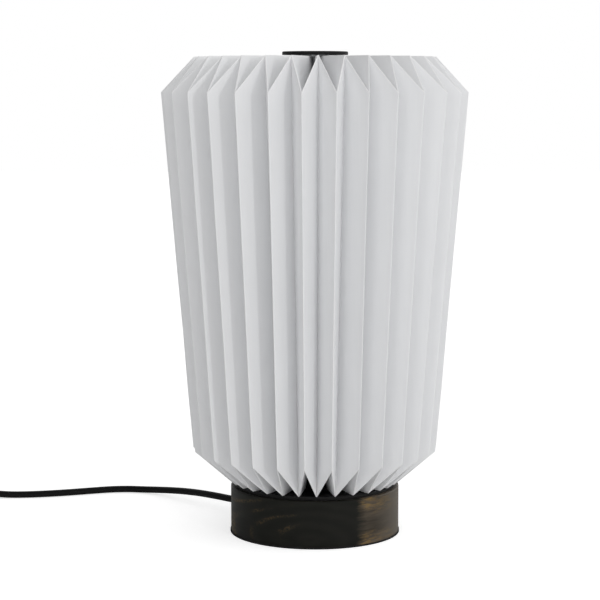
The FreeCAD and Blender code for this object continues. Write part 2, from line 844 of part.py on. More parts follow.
def terminal_screws():
    screws = []
    for side in (-1, 1):
        height = terminal_bottom() + terminal_size / 2
        shank = terminal_screw_at(side, terminal_screw_radius)
        head_radius = terminal_screw_radius * terminal_head_ratio
        x = side * terminal_offset
        front = -terminal_size / 2 - terminal_head_height
        head = Part.makeCylinder(head_radius, terminal_head_height, V(x, front, height), V(0, 1, 0))
        slot = Part.makeBox(2 * head_radius, terminal_slot, terminal_slot,
                            V(x - head_radius, front, height - terminal_slot / 2))
        screws.append(shank.fuse(head).cut(slot))
    return Part.makeCompound(screws)


# ---------------------------------------------------------------- bulb
def bulb_contact():
    return disc(bulb_contact_radius, bulb_contact_height, bulb_bottom)


def bulb_insulator():
    low = bulb_bottom + bulb_contact_height
    high = low + bulb_insulator_height
    return turned([(0, low), (bulb_contact_radius + bulb_insulator_foot, low),
                   (bulb_root_radius - bulb_insulator_step, high), (0, high)])


def bulb_cap_bottom():
    return bulb_bottom + bulb_contact_height + bulb_insulator_height


def bulb_screw_cap():
    """The threaded metal cap: a thin wall closed in at its lower end."""
    low = bulb_cap_bottom()
    top = low + bulb_cap_length
    plain = (bulb_cap_length - bulb_thread_turns * bulb_thread_pitch) / 2
    outer = [(bulb_root_radius - bulb_cap_edge, low), (bulb_root_radius, low + bulb_cap_edge)]
    outer += thread_steps(low + plain, bulb_thread_turns, bulb_root_radius, bulb_cap_radius)
    outer.append((bulb_root_radius, top))
    inner_radius = bulb_root_radius - bulb_cap_wall
    return turned(outer + [(inner_radius, top), (inner_radius, low + bulb_cap_wall), (0, low + bulb_cap_wall),
                           (0, low)])


def bulb_globe_centre():
    return bulb_bottom + bulb_length - bulb_globe_radius


def bulb_rim():
    """Height where the plastic collar ends and the opal globe starts."""
    return bulb_globe_centre() - math.sqrt(bulb_globe_radius ** 2 - bulb_collar_top_radius ** 2)


def bulb_collar():
    """The white body between the screw cap and the globe, with a spigot down into the cap."""
    low = bulb_cap_bottom() + bulb_cap_length
    spigot = bulb_root_radius - bulb_cap_wall
    foot = (bulb_root_radius + bulb_collar_step, low)
    rim = (bulb_collar_top_radius, bulb_rim())
    bow = ((foot[0] + rim[0]) / 2 + bulb_collar_bow, (foot[1] + rim[1]) / 2 - bulb_collar_bow)
    depth = bulb_cap_length * bulb_spigot_share
    return turned_edges([
        line((0, low - depth), (spigot, low - depth)),
        line((spigot, low - depth), (spigot, low)),
        line((spigot, low), foot),
        arc(foot, bow, rim),
        line(rim, (0, rim[1])),
        line((0, rim[1]), (0, low - depth)),
    ])


def bulb_globe():
    """A thin opal globe, cut off where it meets the collar."""
    centre = V(0, 0, bulb_globe_centre())
    shell = Part.makeSphere(bulb_globe_radius, centre)
    shell = shell.cut(Part.makeSphere(bulb_globe_radius - bulb_globe_wall, centre))
    span = 2 * bulb_globe_radius
    below = Part.makeCylinder(span, span, V(0, 0, bulb_rim() - span))
    return shell.cut(below)


def bulb_board():
    return disc(bulb_collar_top_radius - 2 * bulb_globe_wall, bulb_board_thickness, bulb_rim())


# ---------------------------------------------------------------- switch on the cord
def rounded_block(length, width, corner, bottom, top):
    """A block on the Z axis with rounded upright edges."""
    block = Part.makeBox(length, width, top - bottom, V(-length / 2, -width / 2, bottom))
    upright = [e for e in block.Edges if abs(e.BoundBox.ZLength - (top - bottom)) < 0.01]
    return block.makeFillet(corner, upright)


def switch_half(bottom, top, rounded_height, open_height):
    """One thin-walled half of the switch's case, rounded at one level and open at the other."""
    block = rounded_block(switch_length, switch_width, switch_corner, bottom, top)
    rim = [e for e in block.Edges
           if abs(e.BoundBox.ZMin - rounded_height) < 0.01 and e.BoundBox.ZLength < 0.01]
    block = block.makeFillet(switch_edge, rim)
    low, high = (bottom + switch_wall, top) if open_height == top else (bottom, top - switch_wall)
    hollow = rounded_block(switch_length - 2 * switch_wall, switch_width - 2 * switch_wall,
                           switch_corner - switch_wall, low, high)
    notch = Part.makeCylinder(cord_radius + switch_notch_play, switch_length,
                              V(-switch_length / 2, 0, switch_lower), V(1, 0, 0))
    return block.cut(hollow).cut(notch)


def switch_post_places():
    x = switch_length / 2 - switch_screw_inset
    y = switch_width / 2 - switch_wall - switch_post_radius + switch_post_sink
    return [(-x, y), (x, -y)]


def at_switch(shape):
    return placed(shape, switch_mid_x, switch_y)


def switch_screw_tools():
    hole = screw_hole(switch_screw_radius, switch_screw_head, switch_top - 2 * switch_wall, 0)
    return [placed(hole, x, y) for x, y in switch_post_places()]


def switch_lower_case():
    case = switch_half(0, switch_lower, 0, switch_lower)
    for x, y in switch_post_places():
        case = case.fuse(placed(disc(switch_post_radius, switch_lower - switch_wall, switch_wall), x, y))
    return at_switch(cut_all(case.removeSplitter(), switch_screw_tools()))


def rocker_boss(side):
    """A bearing block under the upper case for one end of the rocker's axle."""
    inner_face = rocker_width / 2 + rocker_play
    size = 2 * (rocker_axle_radius + rocker_boss_wall)
    y = inner_face if side > 0 else -inner_face - rocker_boss_wall
    return Part.makeBox(size, rocker_boss_wall, size,
                        V(-size / 2, y, switch_top - switch_wall - size))


def switch_upper_case():
    case = switch_half(switch_lower, switch_top, switch_top, switch_lower)
    long = rocker_length + 2 * rocker_play
    wide = rocker_width + 2 * rocker_play
    opening = Part.makeBox(long, wide, switch_upper, V(-long / 2, -wide / 2, switch_lower))
    for x, y in switch_post_places():
        case = case.fuse(placed(disc(switch_post_radius, switch_upper - switch_wall, switch_lower), x, y))
    for side in (-1, 1):
        case = case.fuse(rocker_boss(side))
    axle_hole = Part.makeCylinder(rocker_axle_radius + thread_play, switch_width,
                                  V(0, -switch_width / 2, rocker_axle_height), V(0, 1, 0))
    between = Part.makeBox(2 * switch_width, switch_width - 2 * switch_wall, switch_upper,
                           V(-switch_width, -(switch_width - 2 * switch_wall) / 2, switch_lower))
    case = case.removeSplitter().cut(opening).cut(axle_hole.common(between))
    return at_switch(cut_all(case, switch_screw_tools()))


def switch_screws():
    screw = wood_screw(switch_screw_radius, switch_screw_head, switch_top - 2 * switch_wall, 0)
    return at_switch(Part.makeCompound([placed(screw, x, y) for x, y in switch_post_places()]))


def switch_contacts():
    """Two brass blocks inside the lower half, one for each end of the cord's switched lead."""
    blocks = []
    for side in (-1, 1):
        corner = V(side * switch_contact_offset - terminal_size / 2, -terminal_size / 2, switch_wall)
        blocks.append(Part.makeBox(terminal_size, terminal_size, terminal_size, corner))
    return at_switch(Part.makeCompound(blocks))


def switch_rocker():
    """A drum about its axle, cut to a shallow valley above so that each end is a place to press."""
    drum_radius = rocker_length / 2
    drum = Part.makeCylinder(drum_radius, rocker_width, V(0, -rocker_width / 2, rocker_axle_height),
                             V(0, 1, 0))
    valley = switch_top + rocker_rise * rocker_dish
    ends = switch_top + rocker_rise * rocker_crest
    low = rocker_axle_height - rocker_drop
    outline = [V(-drum_radius, 0, low), V(-drum_radius, 0, ends), V(0, 0, valley), V(drum_radius, 0, ends),
               V(drum_radius, 0, low)]
    keep = Part.Face(Part.makePolygon(outline + outline[:1])).extrude(V(0, rocker_width, 0))
    keep.translate(V(0, -rocker_width / 2, 0))
    axle_length = rocker_width + 2 * rocker_axle_reach
    axle = Part.makeCylinder(rocker_axle_radius, axle_length, V(0, -axle_length / 2, rocker_axle_height),
                             V(0, 1, 0))
    return at_switch(drum.common(keep).fuse(axle).removeSplitter())


# ---------------------------------------------------------------- plug
def at_plug(shape):
    """Moves what is drawn from the cord's end along +X to the place of the plug."""
    moved = shape.copy()
    moved.translate(route_to_plug[-1])
    return moved


def pin_bars(radius, start, length):
    return [Part.makeCylinder(radius, length, V(start, side * plug_pin_spacing / 2, 0), V(1, 0, 0))
            for side in (-1, 1)]


def plug_body():
    """A flat body that widens from the cord to its face, with the insulated roots of the pins."""
    face_x = plug_tail_length + plug_body_length
    wide_x = face_x - plug_body_length * plug_face_share
    half = plug_width / 2
    tail = plug_shoulder_radius
    outline = [V(plug_tail_length, -tail, 0), V(wide_x, -half, 0), V(face_x, -half, 0),
               V(face_x, half, 0), V(wide_x, half, 0), V(plug_tail_length, tail, 0)]
    body = Part.Face(Part.makePolygon(outline + outline[:1])).extrude(V(0, 0, plug_height))
    body.translate(V(0, 0, -plug_height / 2))
    upright = [e for e in body.Edges if e.BoundBox.ZLength > plug_height - 0.01]
    body = body.makeFillet(plug_corner, upright)
    level = [e for e in body.Edges if e.BoundBox.ZLength < 0.01 and e.BoundBox.XMin < face_x - 0.01]
    body = body.makeFillet(plug_edge, level)
    cone = Part.makeCone(plug_tail_radius, tail, plug_tail_length, ORIGIN, V(1, 0, 0))
    body = body.fuse(cone)
    sleeve_length = plug_sleeve_length + plug_sleeve_root
    for sleeve in pin_bars(plug_sleeve_radius, face_x - plug_sleeve_root, sleeve_length):
        body = body.fuse(sleeve)
    body = cut_all(body.removeSplitter(), pin_bars(plug_core_radius, face_x - plug_pin_root, plug_pin_length))
    return at_plug(body)


def plug_pins():
    face_x = plug_tail_length + plug_body_length
    cores = pin_bars(plug_core_radius, face_x - plug_pin_root, plug_pin_length + plug_pin_root)
    tips = pin_bars(plug_pin_radius, face_x + plug_sleeve_length, plug_pin_length - plug_sleeve_length)
    pins = []
    for core, tip in zip(cores, tips):
        end = [e for e in tip.Edges if abs(e.BoundBox.XMin - face_x - plug_pin_length) < 0.01]
        pins.append(core.fuse(tip.makeFillet(plug_pin_rounding, end)).common(tip.fuse(core)))
    return at_plug(Part.makeCompound(pins))


# ---------------------------------------------------------------- coil
def cord_coil():
    """The outer shape of the coiled spare cord."""
    block = ring(coil_mid_radius + coil_half_width, coil_mid_radius - coil_half_width, coil_height, coil_lift)
    rims = [e for e in block.Edges if e.BoundBox.ZLength < 0.01]
    block = block.makeFillet(cord_radius, rims)
    block.translate(coil_centre)
    return block


def coil_tie():
    """A flat band round the coil's section, with the lump of its catch on top."""
    half = coil_half_width + tie_side_play
    top = coil_lift + coil_height + tie_play
    outer = rounded_across(half + tie_thickness, 0, top + tie_thickness, cord_radius + tie_thickness)
    inner = rounded_across(half, tie_thickness, top, cord_radius)
    head_width = tie_width + 2 * tie_head_margin
    catch = Part.makeBox(tie_head, head_width, tie_head_height,
                         V(-tie_head / 2, -head_width / 2, top + tie_thickness / 2))
    band = outer.fuse(catch).cut(inner).removeSplitter()
    band.translate(V(coil_mid_radius, 0, 0))
    band.rotate(ORIGIN, UP, tie_azimuth)
    band.translate(coil_centre)
    return band


def rounded_across(half, bottom, top, corner):
    """A bar along Y, as wide as the tie, with rounded long edges."""
    bar = Part.makeBox(2 * half, tie_width, top - bottom, V(-half, -tie_width / 2, bottom))
    long_edges = [e for e in bar.Edges if e.BoundBox.YLength > tie_width - 0.01]
    return bar.makeFillet(corner, long_edges)


# ---------------------------------------------------------------- everything
def build():
    return {
        "pleated_shade": pleated_shade(),
        "top_cap": top_cap(),
        "spacer_tube": spacer_tube(),
        "clamp_plate": clamp_plate(),
        "hub_nut": hub_nut(),
        "base_pad": base_pad(),
        "bottom_cover": bottom_cover(),
        "cover_screws": cover_screw_set(),
        "wood_base": wood_base(),
        "cord_bar": cord_bar(),
        "cord_bar_screws": cord_bar_screws(),
        "carrier_disc": carrier_disc(),
        "threaded_tube": threaded_tube(),
        "lock_washer": lock_washer(),
        "lock_nut": lock_nut(),
        "cord_bushing": cord_bushing(),
        "inner_cord": inner_cord(),
        "live_lead": lead(1),
        "neutral_lead": lead(-1),
        "holder_cap": holder_cap(),
        "holder_shell": holder_shell(),
        "ceramic_insert": ceramic_insert(),
        "screw_sleeve": screw_sleeve(),
        "centre_contact": centre_contact(),
        "terminals": terminals(),
        "terminal_screws": terminal_screws(),
        "bulb_contact": bulb_contact(),
        "bulb_insulator": bulb_insulator(),
        "bulb_screw_cap": bulb_screw_cap(),
        "bulb_collar": bulb_collar(),
        "bulb_board": bulb_board(),
        "bulb_globe": bulb_globe(),
        "cord_to_switch": cord_tube("cord_to_switch", route_to_switch),
        "switch_lower_case": switch_lower_case(),
        "switch_upper_case": switch_upper_case(),
        "switch_screws": switch_screws(),
        "switch_contacts": switch_contacts(),
        "switch_rocker": switch_rocker(),
        "cord_to_coil": cord_tube("cord_to_coil", route_to_coil),
        "cord_coil": cord_coil(),
        "coil_tie": coil_tie(),
        "cord_to_plug": cord_tube("cord_to_plug", route_to_plug),
        "plug_body": plug_body(),
        "plug_pins": plug_pins(),
    }


os.makedirs("parts", exist_ok=True)
for node, shape in build().items():
    solids = shape.Solids
    box = shape.BoundBox
    print("%-18s %d solid(s) valid=%s volume %9.1f  x %.1f..%.1f  y %.1f..%.1f  z %.2f..%.2f"
          % (node, len(solids), shape.isValid(), shape.Volume, box.XMin, box.XMax, box.YMin, box.YMax,
             box.ZMin, box.ZMax))
    shape.exportStep("parts/%s.step" % node)
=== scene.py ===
# %% [markdown]
# # A pleated paper table lamp
# A white paper strip is folded into a ring of pleats, turned in at the top and the bottom, and stands on a
# short turned base of dark stained wood. A black mains cord leaves the base at the back left. The fixed
# frame below already holds every hard piece at its real size, so this script only gives them their finish,
# and makes the pieces whose looks need soft or rounded forms: the paper and the cord.

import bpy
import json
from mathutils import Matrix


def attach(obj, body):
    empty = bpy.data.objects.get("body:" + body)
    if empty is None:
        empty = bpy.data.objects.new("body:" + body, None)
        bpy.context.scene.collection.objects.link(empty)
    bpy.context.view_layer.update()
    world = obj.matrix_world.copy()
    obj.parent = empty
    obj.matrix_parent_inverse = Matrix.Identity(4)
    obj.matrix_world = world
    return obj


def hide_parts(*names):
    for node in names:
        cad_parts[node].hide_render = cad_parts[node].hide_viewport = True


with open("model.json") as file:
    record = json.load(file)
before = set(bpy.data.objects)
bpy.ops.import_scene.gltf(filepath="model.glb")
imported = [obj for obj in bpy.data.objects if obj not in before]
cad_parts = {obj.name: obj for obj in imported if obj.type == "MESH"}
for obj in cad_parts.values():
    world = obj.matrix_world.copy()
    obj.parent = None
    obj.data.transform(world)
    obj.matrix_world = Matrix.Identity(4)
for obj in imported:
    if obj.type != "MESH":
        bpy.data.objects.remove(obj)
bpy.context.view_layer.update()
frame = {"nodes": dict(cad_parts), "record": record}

# %% Modules and units
import json
import math
import random

import bpy
from mathutils import Vector, noise

MM = 0.001
scene = bpy.context.scene


# %% [markdown]
# ## The camera
# The lamp was looked at from a little above its middle, from about 1.4 m, with a long lens. The lens and
# the tilt were found by matching the folds at the shoulder and the skirt of the shade and the ellipses of
# the base, so a point of the frame lands where it should. A slight turn to the left puts the lamp right of
# the middle of the picture.

# %% Camera
camera_place = Vector((0, -1.414, 0.335))
camera_tilt = 0.1125            # radians downwards
camera_turn = 0.0079            # radians to the left
lens_mm, sensor_mm = 113.9, 36
camera = bpy.data.objects.new("camera", bpy.data.cameras.new("camera"))
camera.data.lens = lens_mm
camera.data.sensor_width = sensor_mm
camera.location = camera_place
camera.rotation_euler = (math.pi / 2 - camera_tilt, 0, camera_turn)
scene.collection.objects.link(camera)
scene.camera = camera
print("camera", tuple(camera.location), "lens", camera.data.lens)


# %% [markdown]
# ## The cord
# A round mains cord is soft but springy: it leaves its rubber bushing straight, drops to the table in a low
# curve and wanders to its switch. One smooth NURBS curve with a round bevel does this better than a mesh,
# because a few listed control points give long, even bends. The order of the curve is set after its
# points are there, or it would stay straight between them.

# %% Cord size and heights
cord_radius = 2.7 * MM
cord_turn = math.radians(137.5)
cord_heading = Vector((math.cos(cord_turn), math.sin(cord_turn), 0))
bushing_tip = 84.4 * MM
exit_height = 10 * MM
first_run = 9.0 * MM
lying = 2.75                    # millimetres from the table to the middle of a cord that lies on it
in_switch = 9.0                 # and of one that goes into the switch
cord_exit = cord_heading * bushing_tip + Vector((0, 0, exit_height))


def metres(points):
    """Points given in millimetres, in metres."""
    return [Vector(p) * MM for p in points]


def cord_curve(name, points):
    """A round cord along one smooth curve with these control points."""
    curve = bpy.data.curves.new(name, "CURVE")
    curve.dimensions = "3D"
    curve.bevel_depth = cord_radius
    curve.bevel_resolution = 8
    curve.use_fill_caps = True
    curve.resolution_u = 8
    spline = curve.splines.new("NURBS")
    spline.points.add(len(points) - 1)
    for point, place in zip(spline.points, points):
        point.co = (*place, 1)
    spline.order_u = 3
    spline.use_endpoint_u = True
    cord = bpy.data.objects.new(name, curve)
    scene.collection.objects.link(cord)
    return cord


def centreline_length(cord):
    """Length of the curve's own line, read from a copy with no bevel."""
    bare = cord.copy()
    bare.data = cord.data.copy()
    bare.data.bevel_depth = 0
    mesh = bpy.data.meshes.new_from_object(bare)
    places = [v.co.copy() for v in mesh.vertices]
    bpy.data.objects.remove(bare)
    bpy.data.meshes.remove(mesh)
    return sum((b - a).length for a, b in zip(places, places[1:]))


# %% The stretch from the lamp to the switch
route_to_switch = [cord_exit, cord_exit + cord_heading * first_run] + metres([
    (-80.0, 74.3, 9.7), (-92.0, 86.6, 9.0), (-105.0, 99.8, 7.6), (-117.5, 112.2, 5.7),
    (-129.0, 122.2, 3.9), (-141.0, 128.8, lying), (-154.5, 131.2, lying), (-169.5, 129.4, lying),
    (-187.0, 122.8, lying), (-207.0, 115.2, lying), (-229.0, 109.4, lying), (-250.0, 107.4, lying),
    (-268.5, 107.6, 4.4), (-285.5, 108.0, in_switch), (-302.0, 108.0, in_switch),
])
lamp_cord = cord_curve("lamp_cord", route_to_switch)
lamp_cord_length = centreline_length(lamp_cord)
print("lamp cord %.4f m" % lamp_cord_length)


# %% [markdown]
# The spare cord is wound as it comes in its box: a neat coil, here in three rows that lie in each other's
# grooves, held by one tie. Each turn keeps its radius for seven tenths of the way round and then steps to
# the next, all at the same place, so the turns stay a cord's width apart. A loop works the turns out, from
# the row and the radius of each.

# %% The stretch from the switch through the coil to the plug
coil_centre = Vector((-421.0, 72.6, 0)) * MM
coil_bottom = 3.4 * MM
row_rise = 2 * cord_radius * math.sqrt(3) / 2
lane = 2 * cord_radius
middle_radius = 30 * MM
# each turn as its row, and the lanes that it stands out from the middle radius
coil_turns = [(0, 1), (0, 0), (0, -1), (1, -0.5), (1, 0.5), (2, -1), (2, 0), (2, 0)]
turn_points = 16
turns_wound = 7.5
step_begins = 0.7                # part of a turn after which it steps to the next one
pull_in = (1 + math.cos(math.pi / turn_points)) / 2   # how much a smooth curve cuts its corners


def ease(x):
    """0 to 1, slowly at both ends."""
    x = min(max(x, 0), 1)
    return x * x * (3 - 2 * x)


def coil_point(index):
    """Control point number index of the coil, counted from where the cord comes in."""
    turn, part = divmod(index / turn_points, 1)
    row, out = coil_turns[int(turn)]
    next_row, next_out = coil_turns[min(int(turn) + 1, len(coil_turns) - 1)]
    step = ease((part - step_begins) / (1 - step_begins))
    climb = ease((part - step_begins) / (1 - step_begins) * 1.5)
    radius = (middle_radius + (out + (next_out - out) * step) * lane) / pull_in
    height = coil_bottom + (row + (next_row - row) * climb) * row_rise
    angle = math.pi / 2 + 2 * math.pi * index / turn_points
    return coil_centre + Vector((radius * math.cos(angle), radius * math.sin(angle), height))


coil_points = [coil_point(i) for i in range(1, int(turns_wound * turn_points))]
route_to_coil = metres([(-354, 108, in_switch), (-370, 108, in_switch), (-386, 107.8, 4.6),
                        (-404, 108.1, 3.4)])
route_to_plug = metres([(-421, 42.6, 12.7), (-407.5, 42.2, 11.6), (-394, 43, 6.9), (-380.5, 43, 6.9)])
plug_cord = cord_curve("plug_cord", route_to_coil + coil_points + route_to_plug)
plug_cord_length = centreline_length(plug_cord)
through_switch = 52 * MM
print("plug cord %.4f m" % plug_cord_length)
print("in all %.3f m" % (lamp_cord_length + through_switch + plug_cord_length))


# %% [markdown]
# ## Light and background
# The lamp is shown switched off, in a white studio that is brighter towards the right, with a small lamp at
# the front right and a wide one at the front left. The direction of the small one was found from the
# pleats: on the left half each pleat throws a long, narrow shadow with a clear edge on the next one. Light
# thrown from panel to panel keeps even the valleys pale. The background is pure white, so the world and the
# floor are white to the camera, and light the lamp at a plainer level. The side towards the camera is
# darker in reflections, as a studio is, which keeps the stained wood deep.

# %% World
fill_turn = math.radians(58)     # where the fill is strongest, to the right of the camera
fill_weak, fill_strong = 0.22, 0.99
studio_towards = (0.5, 0.86, 0)  # where reflections find the studio brightest
studio_start = -0.3
studio_dark, studio_bright = 0.05, 1.1
world = bpy.data.worlds.new("studio")
world.use_nodes = True
scene.world = world


def add_node(tree, kind, **values):
    """Adds a node and sets the inputs that are named, spaces written as underscores."""
    node = tree.nodes.new("ShaderNode" + kind)
    for name, value in values.items():
        node.inputs[name.replace("_", " ")].default_value = value
    return node


def link(tree, output, socket):
    tree.links.new(output, socket)


def feed(tree, socket, value):
    """Sets a socket to a number, or links another socket to it."""
    if isinstance(value, (int, float)):
        socket.default_value = value
    else:
        tree.links.new(value, socket)


def math_node(tree, operation, first, second):
    """A sum, product or other operation of two values, each a socket or a number."""
    node = tree.nodes.new("ShaderNodeMath")
    node.operation = operation
    for socket, value in zip(node.inputs, (first, second)):
        feed(tree, socket, value)
    return node.outputs[0]


def mix_values(tree, share, first, second):
    """From first to second as the share goes from 0 to 1, each a socket or a number."""
    node = tree.nodes.new("ShaderNodeMix")
    for socket, value in zip(node.inputs[:1] + node.inputs[2:4], (share, first, second)):
        feed(tree, socket, value)
    return node.outputs[0]


def brightness_towards(tree, place, direction, start, weak, strong):
    """Brightness that rises from weak to strong as one looks towards a direction."""
    towards = tree.nodes.new("ShaderNodeVectorMath")
    towards.operation = "DOT_PRODUCT"
    towards.inputs[1].default_value = direction
    link(tree, place.outputs["Generated"], towards.inputs[0])
    node = add_node(tree, "MapRange", From_Min=start, From_Max=1, To_Min=weak, To_Max=strong)
    link(tree, towards.outputs["Value"], node.inputs["Value"])
    return node.outputs[0]


def build_world():
    """White to the camera and through glass, and a fill that grows to one side for all else."""
    tree = world.node_tree
    background = tree.nodes["Background"]
    background.inputs["Color"].default_value = (1, 1, 1, 1)
    rays = add_node(tree, "LightPath")
    place = add_node(tree, "TexCoord")
    fill_towards = (math.sin(fill_turn), -math.cos(fill_turn), 0)
    fill = brightness_towards(tree, place, fill_towards, -1, fill_weak, fill_strong)
    studio = brightness_towards(tree, place, studio_towards, studio_start, studio_dark, studio_bright)
    lit = mix_values(tree, rays.outputs["Is Glossy Ray"], fill, studio)
    white = math_node(tree, "MAXIMUM", rays.outputs["Is Camera Ray"], rays.outputs["Is Transmission Ray"])
    link(tree, mix_values(tree, white, lit, 1.0), background.inputs["Strength"])


build_world()

# %% Floor
floor_glow = 0.6                 # added where the camera sees the floor
floor_width = 12
floor_grey = (0.86, 0.86, 0.86, 1)


def build_floor():
    """A matt pale floor that reads as white and still takes the lamp's shadow."""
    bpy.ops.mesh.primitive_plane_add(size=floor_width, location=(0, 0, 0))
    floor = bpy.context.object
    floor.name = "floor"
    material = bpy.data.materials.new("floor_white")
    material.use_nodes = True
    tree = material.node_tree
    shader = tree.nodes["Principled BSDF"]
    shader.inputs["Base Color"].default_value = floor_grey
    shader.inputs["Roughness"].default_value = 1
    shader.inputs["Specular IOR Level"].default_value = 0
    shader.inputs["Emission Color"].default_value = (1, 1, 1, 1)
    rays = add_node(tree, "LightPath")
    seen = math_node(tree, "MAXIMUM", rays.outputs["Is Camera Ray"], rays.outputs["Is Transmission Ray"])
    link(tree, math_node(tree, "MULTIPLY", seen, floor_glow), shader.inputs["Emission Strength"])
    floor.data.materials.append(material)


build_floor()

# %% Lamps
light_aim = Vector((0, 0, 0.2))
light_distance = 3.0


def soft_light(name, turn, rise, width, height, watts):
    """An area lamp that is turned by some degrees to the right of the camera and aimed at the lamp."""
    light = bpy.data.objects.new(name, bpy.data.lights.new(name, "AREA"))
    light.data.shape = "RECTANGLE"
    light.data.size = width
    light.data.size_y = height
    light.data.energy = watts
    turn = math.radians(turn)
    across, back = light_distance * math.sin(turn), light_distance * math.cos(turn)
    light.location = (across, -back, light_aim.z + rise)
    light.rotation_euler = (light_aim - light.location).to_track_quat("-Z", "Y").to_euler()
    scene.collection.objects.link(light)


soft_light("key", turn=31.5, rise=0.45, width=0.12, height=0.4, watts=8.5)
soft_light("front", turn=-20, rise=0.4, width=0.8, height=1.2, watts=4.6)
scene.view_settings.view_transform = "Standard"


# %% [markdown]
# ## The folded shade
# The shade is one strip of paper with 30 pleats. Each pleat has two flat panels. At the shoulder and at the
# skirt a zigzag line of creases turns the whole strip inwards, so that the ridge folds of the wall end in
# points there, and the valley folds come out as the top edges of the crown and the tips of the foot.
# Modelling one flat strip with its crease pattern and then folding it is the easy way: a grid of two panels
# by three lengths has exactly the paper's corners. The sizes are the frame's own: radius and height of the
# ridge folds and the valley folds at the four bends.

# %% Sizes of the folded strip
pleats = 30
pitch = 2 * math.pi / pleats
pleat_turn = math.radians(-4.9)  # the front ridge is turned this much from straight ahead
panel_width = 28.5 * MM
mouth_radius = 38.0 * MM
skirt_radius, skirt_height = 91.6 * MM, 63.4 * MM
shoulder_radius, shoulder_height = 113.0 * MM, 330.2 * MM
crown_height = shoulder_height + 25.0 * MM
foot_height = skirt_height - 24.5 * MM
eye_radius, eye_height = 11.94 * MM, 356.7 * MM


def valley_radius(ridge_radius):
    """Where the valley folds stand when two panels of the strip's width meet at this ridge radius."""
    half_gap = ridge_radius * math.sin(pitch / 2)
    return ridge_radius * math.cos(pitch / 2) - math.sqrt(panel_width ** 2 - half_gap ** 2)


def valley_at(height):
    """Radius of the valley folds at this height, on the straight line from skirt to shoulder."""
    share = (height - skirt_height) / (shoulder_height - skirt_height)
    return valley_radius(skirt_radius) * (1 - share) + valley_radius(shoulder_radius) * share


rounding = 1.1 * MM              # what rounding takes off a fold, given back beforehand
skirt_rounding = 0.4 * rounding  # the folds of the skirt lose less
# radius and height of the ridge fold, then of the valley fold, from the mouth up to the eye
bends = [((mouth_radius, skirt_height), (mouth_radius, foot_height)),
         ((skirt_radius + skirt_rounding, skirt_height), (valley_at(foot_height), foot_height - rounding)),
         ((shoulder_radius + rounding, shoulder_height),
          (valley_at(crown_height) + rounding, crown_height + rounding)),
         ((eye_radius, shoulder_height), (eye_radius, eye_height))]
print("valley folds at", [round(v[0] / MM, 1) for _, v in bends], "mm")


# %% Helpers for modelling by hand
def deselect():
    """An operator acts on all that is selected, so this comes first."""
    bpy.ops.object.select_all(action="DESELECT")


def start_edit(obj, mode="FACE"):
    """Opens one object in edit mode with nothing selected."""
    deselect()
    obj.select_set(True)
    bpy.context.view_layer.objects.active = obj
    bpy.ops.object.mode_set(mode="EDIT")
    bpy.ops.mesh.select_mode(type=mode)
    bpy.ops.mesh.select_all(action="DESELECT")


def end_edit():
    bpy.ops.object.mode_set(mode="OBJECT")


def apply_modifier(obj, kind, **settings):
    """Adds a modifier with these settings and makes it part of the mesh."""
    deselect()
    obj.select_set(True)
    bpy.context.view_layer.objects.active = obj
    modifier = obj.modifiers.new(kind.lower(), kind)
    for name, value in settings.items():
        setattr(modifier, name, value)
    bpy.ops.object.modifier_apply(modifier=modifier.name)


# %% Fold one pleat out of a flat strip
def fold_place(bend, column):
    """Corner of the folded paper: columns 0 and 2 are ridge folds, column 1 is the valley between them."""
    radius, height = bends[bend][column % 2]
    angle = pleat_turn - math.pi / 2 + column * pitch / 2
    return Vector((radius * math.cos(angle), radius * math.sin(angle), height))


def flat_strip():
    """Two panels wide and three lengths long: foot, wall and crown."""
    deselect()
    bpy.ops.mesh.primitive_grid_add(x_subdivisions=2, y_subdivisions=3, size=1)
    return bpy.context.object


def fold_strip(strip):
    """Moves each corner of the flat strip to its place in the fold, one crease after the other."""
    columns = sorted({round(v.co.x, 3) for v in strip.data.vertices})
    rows = sorted({round(v.co.y, 3) for v in strip.data.vertices})
    for vertex in strip.data.vertices:
        column = columns.index(round(vertex.co.x, 3))
        bend = rows.index(round(vertex.co.y, 3))
        vertex.co = fold_place(bend, column)


shade = flat_strip()
shade.name = "paper_shade"
fold_strip(shade)
print("one pleat:", len(shade.data.vertices), "corners")


# %% [markdown]
# Real paper has no sharp edges: each crease is a round, as narrow as the paper's stiffness allows. So the
# panels are cut into smaller faces, the pleat is repeated round the axis with a spin that copies, and every
# crease of the whole ring is bevelled at once. The small crease faces, which are nearly all but the long
# ones up the wall, are marked in an attribute, so that a highlight can be painted along the creases. Last,
# the folds are made a little uneven: no fold of a shade that is pleated by hand stands exactly in its
# place, so each one is turned about the axis by up to two degrees, and the panels wave by a fraction of a
# millimetre.

# %% Repeat the pleat and round the creases
panel_cuts = 5
crease_width = 0.7 * MM
crease_steps = 4
crease_angle = math.radians(20)  # edges that bend more than this are creases
weld_distance = 0.01 * MM
tip_bluntness = 2.3 * MM         # how far from a tip its corners are smoothed
tip_smoothings = 3


def repeat_pleat(strip):
    """Cuts the panels into smaller faces and copies the pleat round the axis."""
    start_edit(strip)
    bpy.ops.mesh.select_all(action="SELECT")
    bpy.ops.mesh.subdivide(number_cuts=panel_cuts)
    bpy.ops.mesh.spin(steps=pleats - 1, dupli=True, angle=2 * math.pi - pitch, center=(0, 0, 0),
                      axis=(0, 0, 1))
    bpy.ops.mesh.select_all(action="SELECT")
    bpy.ops.mesh.remove_doubles(threshold=weld_distance)
    end_edit()


